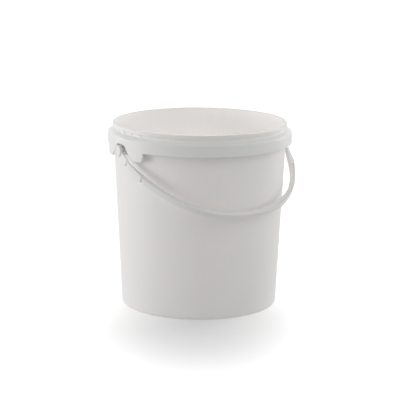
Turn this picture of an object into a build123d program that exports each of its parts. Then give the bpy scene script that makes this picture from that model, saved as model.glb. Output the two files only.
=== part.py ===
from build123d import *
import math
import os

# Florist's bucket: a moulded white plastic pail and its moulded plastic bail handle.
# Millimetres, +Z up. The origin is on the pail's axis, in the plane that it stands on.
# The bail turns about a line along X and rests hanging towards -Y.

# Pail: tapered wall, floor and foot ring
BASE_R = 114.1
TAPER_END_R = 125.3
TAPER_END_Z = 223.3
NECK_R = 125.6
WALL = 2.0
FLOOR_TOP = 5.0
UNDERSIDE_Z = 2.4
FOOT_RING_R = 101.0
HEEL_ROUND = 4.0
FLOOR_ROUND = 5.0
TAPER_BEND = 200.0

# Pail: lip bead, groove, shoulder and skirt
TOP_Z = 270.4
LIP_R = 127.6
LIP_INNER_R = 123.6
LIP_SIDE_Z = 265.4
LIP_UNDER_Z = 262.9
LIP_ROUND = 1.6
GROOVE_Z = 261.0
SKIRT_R = 135.0
SKIRT_WALL = 2.0
SHOULDER_Z = 257.0
SKIRT_BOTTOM_Z = 240.3
SHOULDER_ROUND = 1.8
CHANNEL_ROUND = 1.2
SKIRT_EDGE_ROUND = 0.7

# Small pockets in the groove, above each ear
POCKET_ANGLES = (-17.0, -8.5, 0.0, 8.5, 17.0)
POCKET_WIDTH = 7.0
POCKET_LOW_Z = 261.2
POCKET_HIGH_Z = 265.4
POCKET_FLOOR_R = 124.8

# Ears: an apron that hangs below the skirt, with a bell-shaped opening
PIVOT_Z = 238.3
APRON_LOW_Z = 227.4
APRON_TOP_Z = 250.0
APRON_HALF_LOW = 46.0
APRON_HALF_HIGH = 48.5
APRON_CORNER = 7.0
BELL_TOP_Z = 248.2
BELL_SHOULDER_Z = 246.4
BELL_WAIST_Z = 239.5
BELL_TOP_HALF = 7.0
BELL_SHOULDER_HALF = 12.0
BELL_WAIST_HALF = 16.2
BELL_MOUTH_HALF = 31.0

# Socket boss in each ear, a blind hole for the bail's peg
BOSS_R = 6.5
BOSS_START_R = 124.6
SOCKET_R = 4.05
SOCKET_FLOOR_X = 128.2
SOCKET_CHAMFER = 0.4

# Bail: pivot disc and peg at each end
PEG_R = 4.0
PEG_TIP_X = 128.8
PEG_CHAMFER = 0.6
DISC_R = 8.2
DISC_INNER_X = 135.4
DISC_OUTER_X = 140.0
DISC_ROUND = 1.1
DISH_R = 6.2
DISH_DEPTH = 0.5

# Bail: the flat arm, from the disc to the start of the grip
HANG_ANGLE = 33.0
BAR_WIDTH = 9.0
ARM_OUTER_X = 138.0
ARM_BEND_Y = 34.0
ARM_INNER_BEND_Y = 32.6
GRIP_START_OUTER = (130.6, 66.0)
GRIP_START_INNER = (122.9, 65.0)

# Bail: the curved grip, an I-section, mirrored about its middle
OUTER_START_ANGLE = 24.0
OUTER_START_REACH = 55.3
OUTER_MIDDLE_HALF = 73.6
OUTER_REACH = 158.0
INNER_START_ANGLE = 21.0
INNER_START_REACH = 52.1
INNER_MIDDLE_HALF = 64.8
INNER_REACH = 148.8
OUTER_FLANGE = 2.5
INNER_FLANGE = 1.5
RECESS_DEPTH = 1.2
RECESS_START_Y = 69.0
EDGE_ROUND = 1.0

# Bail: across each arm's outer face, a low rib with a notch in the face's lower half behind it,
# at two places: (rib start, rib end, notch end, rib rise, notch depth), along the arm's reach
LUGS = (
    (24.0, 26.2, 30.8, 1.1, 1.0),
    (60.0, 62.0, 69.0, 1.1, 1.8),
)
LUG_BED = 1.0

# How far a cutting tool runs past the face that it cuts
PAST = 2.0


def wall_radius(z):
    """Outer radius of the tapered wall at height z."""
    return BASE_R + (TAPER_END_R - BASE_R) * z / TAPER_END_Z


def pail_section():
    """Half section of the pail in X and Z: wall, lip, shoulder and skirt in one outline."""
    channel_top = GROOVE_Z - WALL
    skirt_inner = SKIRT_R - SKIRT_WALL
    corners = [
        (0, UNDERSIDE_Z, 0),
        (FOOT_RING_R, UNDERSIDE_Z, CHANNEL_ROUND),
        (FOOT_RING_R + 1, 0, SKIRT_EDGE_ROUND),
        (BASE_R, 0, HEEL_ROUND),
        (TAPER_END_R, TAPER_END_Z, TAPER_BEND),
        (NECK_R, channel_top, CHANNEL_ROUND),
        (skirt_inner, SHOULDER_Z - SKIRT_WALL, CHANNEL_ROUND),
        (skirt_inner, SKIRT_BOTTOM_Z, SKIRT_EDGE_ROUND),
        (SKIRT_R, SKIRT_BOTTOM_Z, SKIRT_EDGE_ROUND),
        (SKIRT_R, SHOULDER_Z, SHOULDER_ROUND),
        (NECK_R, GROOVE_Z, SKIRT_EDGE_ROUND),
        (NECK_R, LIP_UNDER_Z, SKIRT_EDGE_ROUND),
        (LIP_R, LIP_SIDE_Z, CHANNEL_ROUND),
        (LIP_R, TOP_Z, LIP_ROUND),
        (LIP_INNER_R, TOP_Z, LIP_ROUND),
        (TAPER_END_R - WALL, TAPER_END_Z, TAPER_BEND),
        (wall_radius(FLOOR_TOP) - WALL, FLOOR_TOP, FLOOR_ROUND),
        (0, FLOOR_TOP, 0),
    ]
    points = [(x, z) for x, z, rounding in corners]
    roundings = [rounding for x, z, rounding in corners]
    outline = FilletPolyline(*points, radius=roundings, close=True)
    return Plane.XZ * make_face(outline)


def groove_pockets(side):
    """Small dark pockets let into the groove above one ear."""
    depth = LIP_R + PAST - POCKET_FLOOR_R
    height = POCKET_HIGH_Z - POCKET_LOW_Z
    middle = (POCKET_FLOOR_R + depth / 2, 0, POCKET_LOW_Z + height / 2)
    block = Pos(*middle) * Box(depth, POCKET_WIDTH, height)
    facing = 0 if side > 0 else 180
    pockets = Part()
    for angle in POCKET_ANGLES:
        pockets += Rot(0, 0, facing + angle) * block
    return pockets


def apron(side):
    """The skin that hangs below the skirt over one ear, before its opening is cut."""
    skin = Cylinder(SKIRT_R, APRON_TOP_Z - APRON_LOW_Z)
    skin -= Cylinder(SKIRT_R - SKIRT_WALL, APRON_TOP_Z - APRON_LOW_Z)
    skin = Pos(0, 0, (APRON_TOP_Z + APRON_LOW_Z) / 2) * skin
    corners = [
        (-APRON_HALF_LOW, APRON_LOW_Z),
        (APRON_HALF_LOW, APRON_LOW_Z),
        (APRON_HALF_HIGH, APRON_TOP_Z),
        (-APRON_HALF_HIGH, APRON_TOP_Z),
    ]
    roundings = [APRON_CORNER, APRON_CORNER, 0, 0]
    outline = make_face(FilletPolyline(*corners, radius=roundings, close=True))
    window = extrude(Plane.YZ * outline, amount=side * (SKIRT_R + PAST))
    return skin & window


def bell_opening(side):
    """Bell-shaped hole through one apron: narrow above the pivot, flared at the mouth."""
    mouth_z = APRON_LOW_Z - PAST
    crown = Spline(
        (BELL_MOUTH_HALF, mouth_z),
        (BELL_WAIST_HALF, BELL_WAIST_Z),
        (BELL_SHOULDER_HALF, BELL_SHOULDER_Z - 1),
        (BELL_TOP_HALF, BELL_TOP_Z),
        tangents=[(-1.2, 1), (-1, 0.05)],
    )
    mirrored = mirror(crown, about=Plane.YZ)
    top = Line((BELL_TOP_HALF, BELL_TOP_Z), (-BELL_TOP_HALF, BELL_TOP_Z))
    mouth = Line((-BELL_MOUTH_HALF, mouth_z), (BELL_MOUTH_HALF, mouth_z))
    outline = make_face([crown, top, mirrored, mouth])
    start = side * (SKIRT_R - SKIRT_WALL - PAST)
    placed = Plane.YZ.offset(start) * outline
    return extrude(placed, amount=side * (SKIRT_WALL + 2 * PAST))


def socket_boss(side):
    """The round boss that stands out of the wall to carry one peg."""
    length = SKIRT_R - BOSS_START_R
    middle = side * (SKIRT_R + BOSS_START_R) / 2
    return Pos(middle, 0, PIVOT_Z) * Rot(0, 90, 0) * Cylinder(BOSS_R, length)


def socket_hole(side):
    """The blind hole in one boss, with a small lead-in at its mouth."""
    length = SKIRT_R + PAST - SOCKET_FLOOR_X
    middle = side * (SOCKET_FLOOR_X + length / 2)
    hole = Pos(middle, 0, PIVOT_Z) * Rot(0, 90, 0) * Cylinder(SOCKET_R, length)
    cone = Cone(SOCKET_R, SOCKET_R + SOCKET_CHAMFER, SOCKET_CHAMFER)
    lead_in = side * (SKIRT_R - SOCKET_CHAMFER / 2)
    return hole + Pos(lead_in, 0, PIVOT_Z) * Rot(0, side * 90, 0) * cone


def make_pail():
    """The whole moulded pail."""
    pail = revolve(pail_section(), axis=Axis.Z)
    for side in (-1, 1):
        pail += apron(side)
        pail -= bell_opening(side)
        pail -= groove_pockets(side)
        pail += socket_boss(side)
        pail -= socket_hole(side)
    return pail


def grip_curve(start, angle, reach, middle_half, middle_reach):
    """Half of one long edge of the grip, from an arm's end to the middle."""
    turn = math.radians(angle)
    lead = (start[0] - reach * math.sin(turn), start[1] + reach * math.cos(turn))
    return Bezier(start, lead, (middle_half, middle_reach), (0, middle_reach))


def outer_curve():
    """Half of the grip's outer edge."""
    return grip_curve(
        GRIP_START_OUTER, OUTER_START_ANGLE, OUTER_START_REACH, OUTER_MIDDLE_HALF, OUTER_REACH
    )


def inner_curve():
    """Half of the grip's inner edge."""
    return grip_curve(
        GRIP_START_INNER, INNER_START_ANGLE, INNER_START_REACH, INNER_MIDDLE_HALF, INNER_REACH
    )


def bail_outline():
    """The bail's flat outline: X along the pivot line, Y along its reach."""
    outer = outer_curve()
    inner = inner_curve()
    arm_outer = Polyline(
        (ARM_OUTER_X, 0), (ARM_OUTER_X, ARM_BEND_Y), GRIP_START_OUTER
    )
    arm_inner = Polyline(
        (DISC_INNER_X, 0), (DISC_INNER_X, ARM_INNER_BEND_Y), GRIP_START_INNER
    )
    foot = Line((DISC_INNER_X, 0), (ARM_OUTER_X, 0))
    middle = Line((0, INNER_REACH), (0, OUTER_REACH))
    return make_face([foot, arm_outer, outer, middle, inner, arm_inner])


def grip_recess_outline():
    """Outline of the hollow between the grip's flanges, for one half."""
    turn = math.radians(OUTER_START_ANGLE)
    middle_outer = OUTER_REACH - OUTER_FLANGE
    middle_inner = INNER_REACH + INNER_FLANGE
    outer_start = (GRIP_START_OUTER[0] - OUTER_FLANGE * math.cos(turn), RECESS_START_Y)
    inner_start = (GRIP_START_INNER[0] + INNER_FLANGE * math.cos(turn), RECESS_START_Y)
    drop = (RECESS_START_Y - GRIP_START_OUTER[1]) * math.tan(turn)
    outer_start = (outer_start[0] - drop, RECESS_START_Y)
    inner_start = (inner_start[0] - drop, RECESS_START_Y)
    outer = grip_curve(
        outer_start,
        OUTER_START_ANGLE,
        OUTER_START_REACH - OUTER_FLANGE,
        OUTER_MIDDLE_HALF - OUTER_FLANGE / 2,
        middle_outer,
    )
    inner = grip_curve(
        inner_start,
        INNER_START_ANGLE,
        INNER_START_REACH - INNER_FLANGE,
        INNER_MIDDLE_HALF + INNER_FLANGE / 2,
        middle_inner,
    )
    end = Line(outer_start, inner_start)
    middle = Line((0, middle_inner), (0, middle_outer))
    return make_face([end, outer, middle, inner])


def arm_face_x(y):
    """Where the arm's outer face is, at a distance y from the pivot."""
    if y < ARM_BEND_Y:
        return ARM_OUTER_X
    slope = (GRIP_START_OUTER[0] - ARM_OUTER_X) / (GRIP_START_OUTER[1] - ARM_BEND_Y)
    return ARM_OUTER_X + slope * (y - ARM_BEND_Y)


def lug_outline(start, end, rise):
    """Side view of one rib, sunk a little into the arm."""
    corners = [
        (arm_face_x(start) - LUG_BED, start),
        (arm_face_x(start) + rise, start + rise / 2),
        (arm_face_x(end) + rise, end),
        (arm_face_x(end) - LUG_BED, end),
    ]
    return make_face(Polyline(*corners, close=True))


def notch_outline(start, end, depth):
    """Side view of one notch, open to the outside."""
    corners = [
        (arm_face_x(start) - depth, start),
        (arm_face_x(start) + PAST, start),
        (arm_face_x(end) + PAST, end),
        (arm_face_x(end) - depth, end),
    ]
    return make_face(Polyline(*corners, close=True))


def both_faces(outline, depth):
    """Cutters that sink an outline into both flat sides of the bail."""
    top = extrude(Plane.XY.offset(BAR_WIDTH / 2 - depth) * outline, amount=depth + PAST)
    return top + mirror(top, about=Plane.XY)


def pivot_end():
    """Disc and peg at the +X end of the bail, with a shallow dish in the disc's face."""
    disc_length = DISC_OUTER_X - DISC_INNER_X
    disc = Rot(0, 90, 0) * Cylinder(DISC_R, disc_length)
    disc = Pos(DISC_INNER_X + disc_length / 2, 0, 0) * disc
    disc = fillet(disc.edges().sort_by(Axis.X)[-1], DISC_ROUND)
    dish = Rot(0, 90, 0) * Cylinder(DISH_R, DISH_DEPTH + PAST)
    dish = Pos(DISC_OUTER_X - DISH_DEPTH + (DISH_DEPTH + PAST) / 2, 0, 0) * dish
    disc -= dish
    peg_length = DISC_INNER_X + 1 - PEG_TIP_X
    peg = Rot(0, 90, 0) * Cylinder(PEG_R, peg_length)
    peg = Pos(PEG_TIP_X + peg_length / 2, 0, 0) * peg
    peg = chamfer(peg.edges().sort_by(Axis.X)[0], PEG_CHAMFER)
    return disc + peg


def make_bail():
    """The whole moulded bail, laid flat, then hung at its rest angle."""
    half = extrude(bail_outline(), amount=BAR_WIDTH / 2, both=True)
    half = fillet(half.edges().filter_by(GeomType.BEZIER), EDGE_ROUND)
    for start, end, notch_end, rise, depth in LUGS:
        half -= extrude(notch_outline(end, notch_end, depth), amount=BAR_WIDTH)
        half += extrude(lug_outline(start, end, rise), amount=BAR_WIDTH / 2, both=True)
    half -= both_faces(grip_recess_outline(), RECESS_DEPTH)
    half += pivot_end()
    bail = half + mirror(half, about=Plane.YZ)
    hung = Rot(180 + HANG_ANGLE, 0, 0) * bail
    return Pos(0, 0, PIVOT_Z) * hung


os.makedirs("parts", exist_ok=True)
export_step(make_pail(), "parts/pail.step")
export_step(make_bail(), "parts/bail_handle.step")
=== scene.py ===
import math

import bmesh
import bpy
from mathutils import Matrix, Vector


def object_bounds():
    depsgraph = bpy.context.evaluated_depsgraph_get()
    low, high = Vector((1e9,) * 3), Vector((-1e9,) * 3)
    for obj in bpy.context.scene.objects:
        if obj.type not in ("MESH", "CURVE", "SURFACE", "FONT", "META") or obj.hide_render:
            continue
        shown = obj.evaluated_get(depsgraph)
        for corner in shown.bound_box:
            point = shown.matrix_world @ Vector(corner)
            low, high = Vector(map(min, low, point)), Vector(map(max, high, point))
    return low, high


# Florist's bucket: a moulded white plastic pail and its moulded plastic bail handle. Both are
# CAD nodes that keep their shape. This script gives them their plastic, and makes the floor,
# the lights and the camera. Metres, degrees and watts, +Z up, in the CAD model's frame.

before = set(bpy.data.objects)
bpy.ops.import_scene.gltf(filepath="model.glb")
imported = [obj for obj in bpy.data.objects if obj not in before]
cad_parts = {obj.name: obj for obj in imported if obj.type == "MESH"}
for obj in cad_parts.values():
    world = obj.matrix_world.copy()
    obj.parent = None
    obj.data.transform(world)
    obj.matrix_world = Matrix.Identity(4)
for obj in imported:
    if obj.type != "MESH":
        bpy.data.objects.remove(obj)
cad_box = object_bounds()

# The skirt is what reaches furthest along +Y, and the lip's top is the highest place
SKIRT_RADIUS = cad_box[1][1]
PAIL_TOP = cad_box[1][2]

# Camera: it looks down at the pail from its front left. Its lens and sensor are in millimetres,
# and its reach is how far it sees.
CAMERA_PLACE = (-1.3502, -2.0968, 0.6882)
CAMERA_HEADING = -32.8
CAMERA_PITCH = 77.857
CAMERA_ROLL = 0.429
CAMERA_LENS = 155.25
CAMERA_SENSOR = 36
CAMERA_REACH = 60

# Floor: pale paper with a painted glow, least at a place in front of the pail, where it makes a
# painted shadow, and more away from it. The shape makes the glow grow faster sideways than
# forwards. It grows from the first strength to the second between two distances from that place.
FLOOR_HALF = 20
FLOOR_COLOR = (0.8, 0.8, 0.8, 1)
FLOOR_ROUGHNESS = 0.9
FLOOR_SPECULAR = 0.1
PAINTED_SHADOW_AHEAD = 0.12
GLOW_SHAPE = (1.8, 1, 1)
GLOW_DISTANCES = (0, 0.42)
GLOW_STRENGTHS = (0.13, 0.72)

# Strip lights that stand on the floor at the sides and show in reflections: each one's name, its
# azimuth from the camera's side, its length upwards, and its power
LIGHT_TARGET = Vector((0, 0, 0.14))
SIDE_DISTANCE = 2.2
SIDE_WIDTH = 0.92
SIDE_LIGHTS = (
    ("left", -84, 0.8, 12.8),
    ("left_back", -112, 0.8, 7.5),
    ("right", 84, 1.0, 3),
    ("right_back", 124, 1.0, 12),
)

# Square lights overhead, which don't show in reflections: each one's name, azimuth and power
OVERHEAD_DISTANCE = 1.6
OVERHEAD_HEIGHT = 2.0
OVERHEAD_WIDTH = 1.2
OVERHEAD_LIGHTS = (("over_back", 180, 8), ("over_front", 45, 5))

# Light for the inside: a spot high behind the pail, seen from the camera, with a narrow cone
INNER_TARGET = Vector((0, 0, 0.27))
INNER_AZIMUTH = 180
INNER_DISTANCE = 1.6
INNER_HEIGHT = 2.0
INNER_POWER = 345
INNER_CONE = 6.5
INNER_RADIUS = 0.05

# Sky: its strength as a light, and as it shows in reflections
SKY = 0.435
MIRRORED_SKY = 0.75

# Plastic of both pieces. A noise is its stretch along each axis, its scale and its detail, and
# most of it lies between the two limits of its spread. The scatter is how far each colour of
# light travels inside the plastic, as parts of the depth.
WHITE = (1, 1, 1, 1)
CLOUD_NOISE = ((1, 1, 0.6), 9, 3)
GLOSS_NOISE = ((1, 1, 1), 55, 4)
PEEL_NOISE = ((1, 1, 1), 420, 2)
NOISE_SPREAD = (0.3, 0.7)
STREAK_HEIGHT = 0.0004
PEEL_HEIGHT = 0.0002
PLASTIC_IOR = 1.49
SCATTER = (1.0, 0.9, 0.8)
SCATTER_DEPTH = 0.003

# What differs between the pieces: two clouded colours, the flow streaks' colour and noise, the
# range of roughness, the strengths of the two reliefs, and how much light is scattered inside
PAIL_LOOK = {
    "light": (0.961, 0.957, 0.932),
    "dark": (0.951, 0.947, 0.922),
    "streak": (0.957, 0.952, 0.927),
    "flow": ((60, 60, 5), 1, 2),
    "roughness": (0.30, 0.36),
    "streak_relief": 0.015,
    "peel_relief": 0.04,
    "scattered": 0.2,
}
HANDLE_LOOK = {
    "light": (0.978, 0.966, 0.952),
    "dark": (0.962, 0.950, 0.936),
    "streak": (0.970, 0.958, 0.944),
    "flow": ((12, 90, 90), 1, 2),
    "roughness": (0.30, 0.40),
    "streak_relief": 0.03,
    "peel_relief": 0.06,
    "scattered": 0.2,
}

# Tints of the pail alone: a painted warm glow of light shining through the wall where it is thin,
# which is below the skirt and inside the lip, and a painted shade on the lip's top. Each tint
# fades between two heights or two radii.
# Painted glow: the warm colour of light shining through the thin wall
PAINTED_GLOW_TINT = (0.979, 0.958, 0.941)
# Painted shade: the darker colour of the lip's top
LIP_SHADE_TINT = (0.86, 0.85, 0.82)
SKIRT_EDGE = (PAIL_TOP - 0.0344, PAIL_TOP - 0.0294)
INNER_EDGE = (SKIRT_RADIUS - 0.0116, SKIRT_RADIUS - 0.0102)
LIP_TOP_EDGE = (PAIL_TOP - 0.0016, PAIL_TOP - 0.0006)

# A Mix node's sockets for colours, by number because those for numbers have the same names
MIX_FACTOR = 0
MIX_FIRST = 6
MIX_SECOND = 7
MIX_RESULT = 2


def add_range(tree, value, limits, results, smooth=False):
    """A number that goes from one result to the other as a value goes between two limits."""
    node = tree.nodes.new("ShaderNodeMapRange")
    if smooth:
        node.interpolation_type = "SMOOTHSTEP"
    names = ("From Min", "From Max", "To Min", "To Max")
    for name, number in zip(names, (*limits, *results)):
        node.inputs[name].default_value = number
    tree.links.new(value, node.inputs["Value"])
    return node.outputs["Result"]


def add_length(tree, vector, parts):
    """The length of a vector whose three parts are first multiplied by numbers."""
    scaled = tree.nodes.new("ShaderNodeVectorMath")
    scaled.operation = "MULTIPLY"
    scaled.inputs[1].default_value = parts
    length = tree.nodes.new("ShaderNodeVectorMath")
    length.operation = "LENGTH"
    tree.links.new(vector, scaled.inputs[0])
    tree.links.new(scaled.outputs["Vector"], length.inputs[0])
    return length.outputs["Value"]


def around_pail(azimuth, distance, height):
    """A place at an azimuth from the camera's side of the pail, anticlockwise from above."""
    heading = math.radians(CAMERA_HEADING + azimuth)
    return Vector((math.sin(heading) * distance, -math.cos(heading) * distance, height))


def make_camera():
    """The scene's camera."""
    data = bpy.data.cameras.new("camera")
    data.lens = CAMERA_LENS
    data.sensor_width = CAMERA_SENSOR
    data.clip_end = CAMERA_REACH
    camera = bpy.data.objects.new("camera", data)
    bpy.context.scene.collection.objects.link(camera)
    turn = Matrix.Rotation(math.radians(CAMERA_HEADING), 4, "Z")
    turn = turn @ Matrix.Rotation(math.radians(CAMERA_PITCH), 4, "X")
    turn = turn @ Matrix.Rotation(math.radians(CAMERA_ROLL), 4, "Z")
    camera.matrix_world = Matrix.Translation(CAMERA_PLACE) @ turn
    bpy.context.scene.camera = camera


def floor_paper_painted_shadow():
    """Pale paper whose painted glow, measured from the object's origin, is least there as a
    painted shadow and fades to white.
    """
    material = bpy.data.materials.new("floor_paper_painted_shadow")
    material.use_nodes = True
    tree = material.node_tree
    shader = tree.nodes["Principled BSDF"]
    shader.inputs["Base Color"].default_value = FLOOR_COLOR
    shader.inputs["Roughness"].default_value = FLOOR_ROUGHNESS
    shader.inputs["Specular IOR Level"].default_value = FLOOR_SPECULAR
    shader.inputs["Emission Color"].default_value = WHITE
    place = tree.nodes.new("ShaderNodeTexCoord")
    distance = add_length(tree, place.outputs["Object"], GLOW_SHAPE)
    glow = add_range(tree, distance, GLOW_DISTANCES, GLOW_STRENGTHS, smooth=True)
    tree.links.new(glow, shader.inputs["Emission Strength"])
    return material


def make_floor():
    """A floor with a painted shadow, which isn't seen in reflections or by bounced light."""
    bm = bmesh.new()
    bmesh.ops.create_grid(bm, x_segments=1, y_segments=1, size=FLOOR_HALF)
    mesh = bpy.data.meshes.new("floor")
    bm.to_mesh(mesh)
    bm.free()
    mesh.materials.append(floor_paper_painted_shadow())
    floor = bpy.data.objects.new("floor", mesh)
    bpy.context.scene.collection.objects.link(floor)
    # The painted shadow's middle lies ahead of the pail, towards the camera
    floor.location = around_pail(0, PAINTED_SHADOW_AHEAD, 0)
    floor.rotation_euler = (0, 0, math.radians(CAMERA_HEADING))
    floor.visible_diffuse = False
    floor.visible_glossy = False


def add_light(data, place, target, mirrored):
    """Puts a light at a place, turned to its target. A mirrored one shows in reflections."""
    light = bpy.data.objects.new(data.name, data)
    bpy.context.scene.collection.objects.link(light)
    light.location = place
    light.rotation_euler = (target - place).to_track_quat("-Z", "Y").to_euler()
    light.visible_glossy = mirrored


def softbox(name, place, width, length, power, mirrored):
    """A rectangle of soft light with its middle at a place, turned to face the pail."""
    data = bpy.data.lights.new(name, "AREA")
    data.shape = "RECTANGLE"
    data.size = width
    data.size_y = length
    data.energy = power
    add_light(data, place, LIGHT_TARGET, mirrored)


def inner_light():
    """A soft-edged spot that shines through the mouth, mostly onto the inside."""
    data = bpy.data.lights.new("inner", "SPOT")
    data.energy = INNER_POWER
    data.spot_size = math.radians(INNER_CONE)
    data.spot_blend = 1
    data.shadow_soft_size = INNER_RADIUS
    place = around_pail(INNER_AZIMUTH, INNER_DISTANCE, INNER_HEIGHT)
    add_light(data, place, INNER_TARGET, mirrored=False)


def make_lights():
    """All the lights but the sky."""
    for name, azimuth, length, power in SIDE_LIGHTS:
        place = around_pail(azimuth, SIDE_DISTANCE, length / 2)
        softbox(name, place, SIDE_WIDTH, length, power, mirrored=True)
    for name, azimuth, power in OVERHEAD_LIGHTS:
        place = around_pail(azimuth, OVERHEAD_DISTANCE, OVERHEAD_HEIGHT)
        softbox(name, place, OVERHEAD_WIDTH, OVERHEAD_WIDTH, power, mirrored=False)
    inner_light()


def make_sky():
    """A white sky, dim as a light and brighter where the plastic mirrors it."""
    world = bpy.data.worlds.new("studio")
    world.use_nodes = True
    tree = world.node_tree
    sky = tree.nodes["Background"]
    sky.inputs["Color"].default_value = WHITE
    ray = tree.nodes.new("ShaderNodeLightPath")
    strength = add_range(tree, ray.outputs["Is Glossy Ray"], (0, 1), (SKY, MIRRORED_SKY))
    tree.links.new(strength, sky.inputs["Strength"])
    bpy.context.scene.world = world


def add_noise(tree, noise, results):
    """Noise fixed to the piece, mapped from its spread to a range."""
    stretch, scale, detail = noise
    place = tree.nodes.new("ShaderNodeTexCoord")
    mapping = tree.nodes.new("ShaderNodeMapping")
    mapping.inputs["Scale"].default_value = stretch
    texture = tree.nodes.new("ShaderNodeTexNoise")
    texture.inputs["Scale"].default_value = scale
    texture.inputs["Detail"].default_value = detail
    tree.links.new(place.outputs["Object"], mapping.inputs["Vector"])
    tree.links.new(mapping.outputs["Vector"], texture.inputs["Vector"])
    return add_range(tree, texture.outputs["Fac"], NOISE_SPREAD, results)


def mix_colors(tree, factor, first, second):
    """A blend of two colours, each given as a value or as another node's output."""
    mix = tree.nodes.new("ShaderNodeMix")
    mix.data_type = "RGBA"
    tree.links.new(factor, mix.inputs[MIX_FACTOR])
    for number, color in ((MIX_FIRST, first), (MIX_SECOND, second)):
        if isinstance(color, tuple):
            mix.inputs[number].default_value = (*color, 1)
        else:
            tree.links.new(color, mix.inputs[number])
    return mix.outputs[MIX_RESULT]


def add_bump(tree, height, strength, distance, under=None):
    """One layer of relief, on top of the layer under it if there is one."""
    bump = tree.nodes.new("ShaderNodeBump")
    bump.inputs["Strength"].default_value = strength
    bump.inputs["Distance"].default_value = distance
    tree.links.new(height, bump.inputs["Height"])
    if under is not None:
        tree.links.new(under, bump.inputs["Normal"])
    return bump.outputs["Normal"]


def tint_pail_glow_and_shade(tree, color):
    """The pail's colour, with a painted warm glow where the wall is thin and a painted shade on
    the lip's top.
    """
    place = tree.nodes.new("ShaderNodeTexCoord")
    axes = tree.nodes.new("ShaderNodeSeparateXYZ")
    tree.links.new(place.outputs["Object"], axes.inputs["Vector"])
    height = axes.outputs["Z"]
    radius = add_length(tree, place.outputs["Object"], (1, 1, 0))
    painted_glow = tree.nodes.new("ShaderNodeMath")
    painted_glow.operation = "MAXIMUM"
    tree.links.new(add_range(tree, height, SKIRT_EDGE, (1, 0), smooth=True), painted_glow.inputs[0])
    tree.links.new(add_range(tree, radius, INNER_EDGE, (1, 0), smooth=True), painted_glow.inputs[1])
    # Painted glow: warm light through the thin wall, painted into the colour
    color = mix_colors(tree, painted_glow.outputs["Value"], color, PAINTED_GLOW_TINT)
    # Painted shade: the lip's top is made darker
    lip_top_shade = add_range(tree, height, LIP_TOP_EDGE, (0, 1), smooth=True)
    return mix_colors(tree, lip_top_shade, color, LIP_SHADE_TINT)


def moulded_plastic(name, look, tint=None):
    """Glossy white polypropylene: cloudy colour, flow streaks, orange peel and uneven gloss."""
    material = bpy.data.materials.new(name)
    material.use_nodes = True
    tree = material.node_tree
    shader = tree.nodes["Principled BSDF"]
    streaks = add_noise(tree, look["flow"], (0, 1))
    color = mix_colors(tree, add_noise(tree, CLOUD_NOISE, (0, 1)), look["light"], look["dark"])
    color = mix_colors(tree, streaks, color, look["streak"])
    # For the pail, the tint adds a painted glow and a painted shade to the colour
    if tint is not None:
        color = tint(tree, color)
    relief = add_bump(tree, streaks, look["streak_relief"], STREAK_HEIGHT)
    peel = add_noise(tree, PEEL_NOISE, (0, 1))
    relief = add_bump(tree, peel, look["peel_relief"], PEEL_HEIGHT, relief)
    tree.links.new(color, shader.inputs["Base Color"])
    tree.links.new(add_noise(tree, GLOSS_NOISE, look["roughness"]), shader.inputs["Roughness"])
    tree.links.new(relief, shader.inputs["Normal"])
    shader.inputs["IOR"].default_value = PLASTIC_IOR
    shader.inputs["Subsurface Weight"].default_value = look["scattered"]
    shader.inputs["Subsurface Radius"].default_value = SCATTER
    shader.inputs["Subsurface Scale"].default_value = SCATTER_DEPTH
    return material


make_camera()
make_floor()
make_lights()
make_sky()
bpy.context.scene.view_settings.view_transform = "Standard"
for name, material in (
    ("pail", moulded_plastic("pail_plastic", PAIL_LOOK, tint_pail_glow_and_shade)),
    ("bail_handle", moulded_plastic("handle_plastic", HANDLE_LOOK)),
):
    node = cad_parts[name]
    node.data.materials.clear()
    node.data.materials.append(material)
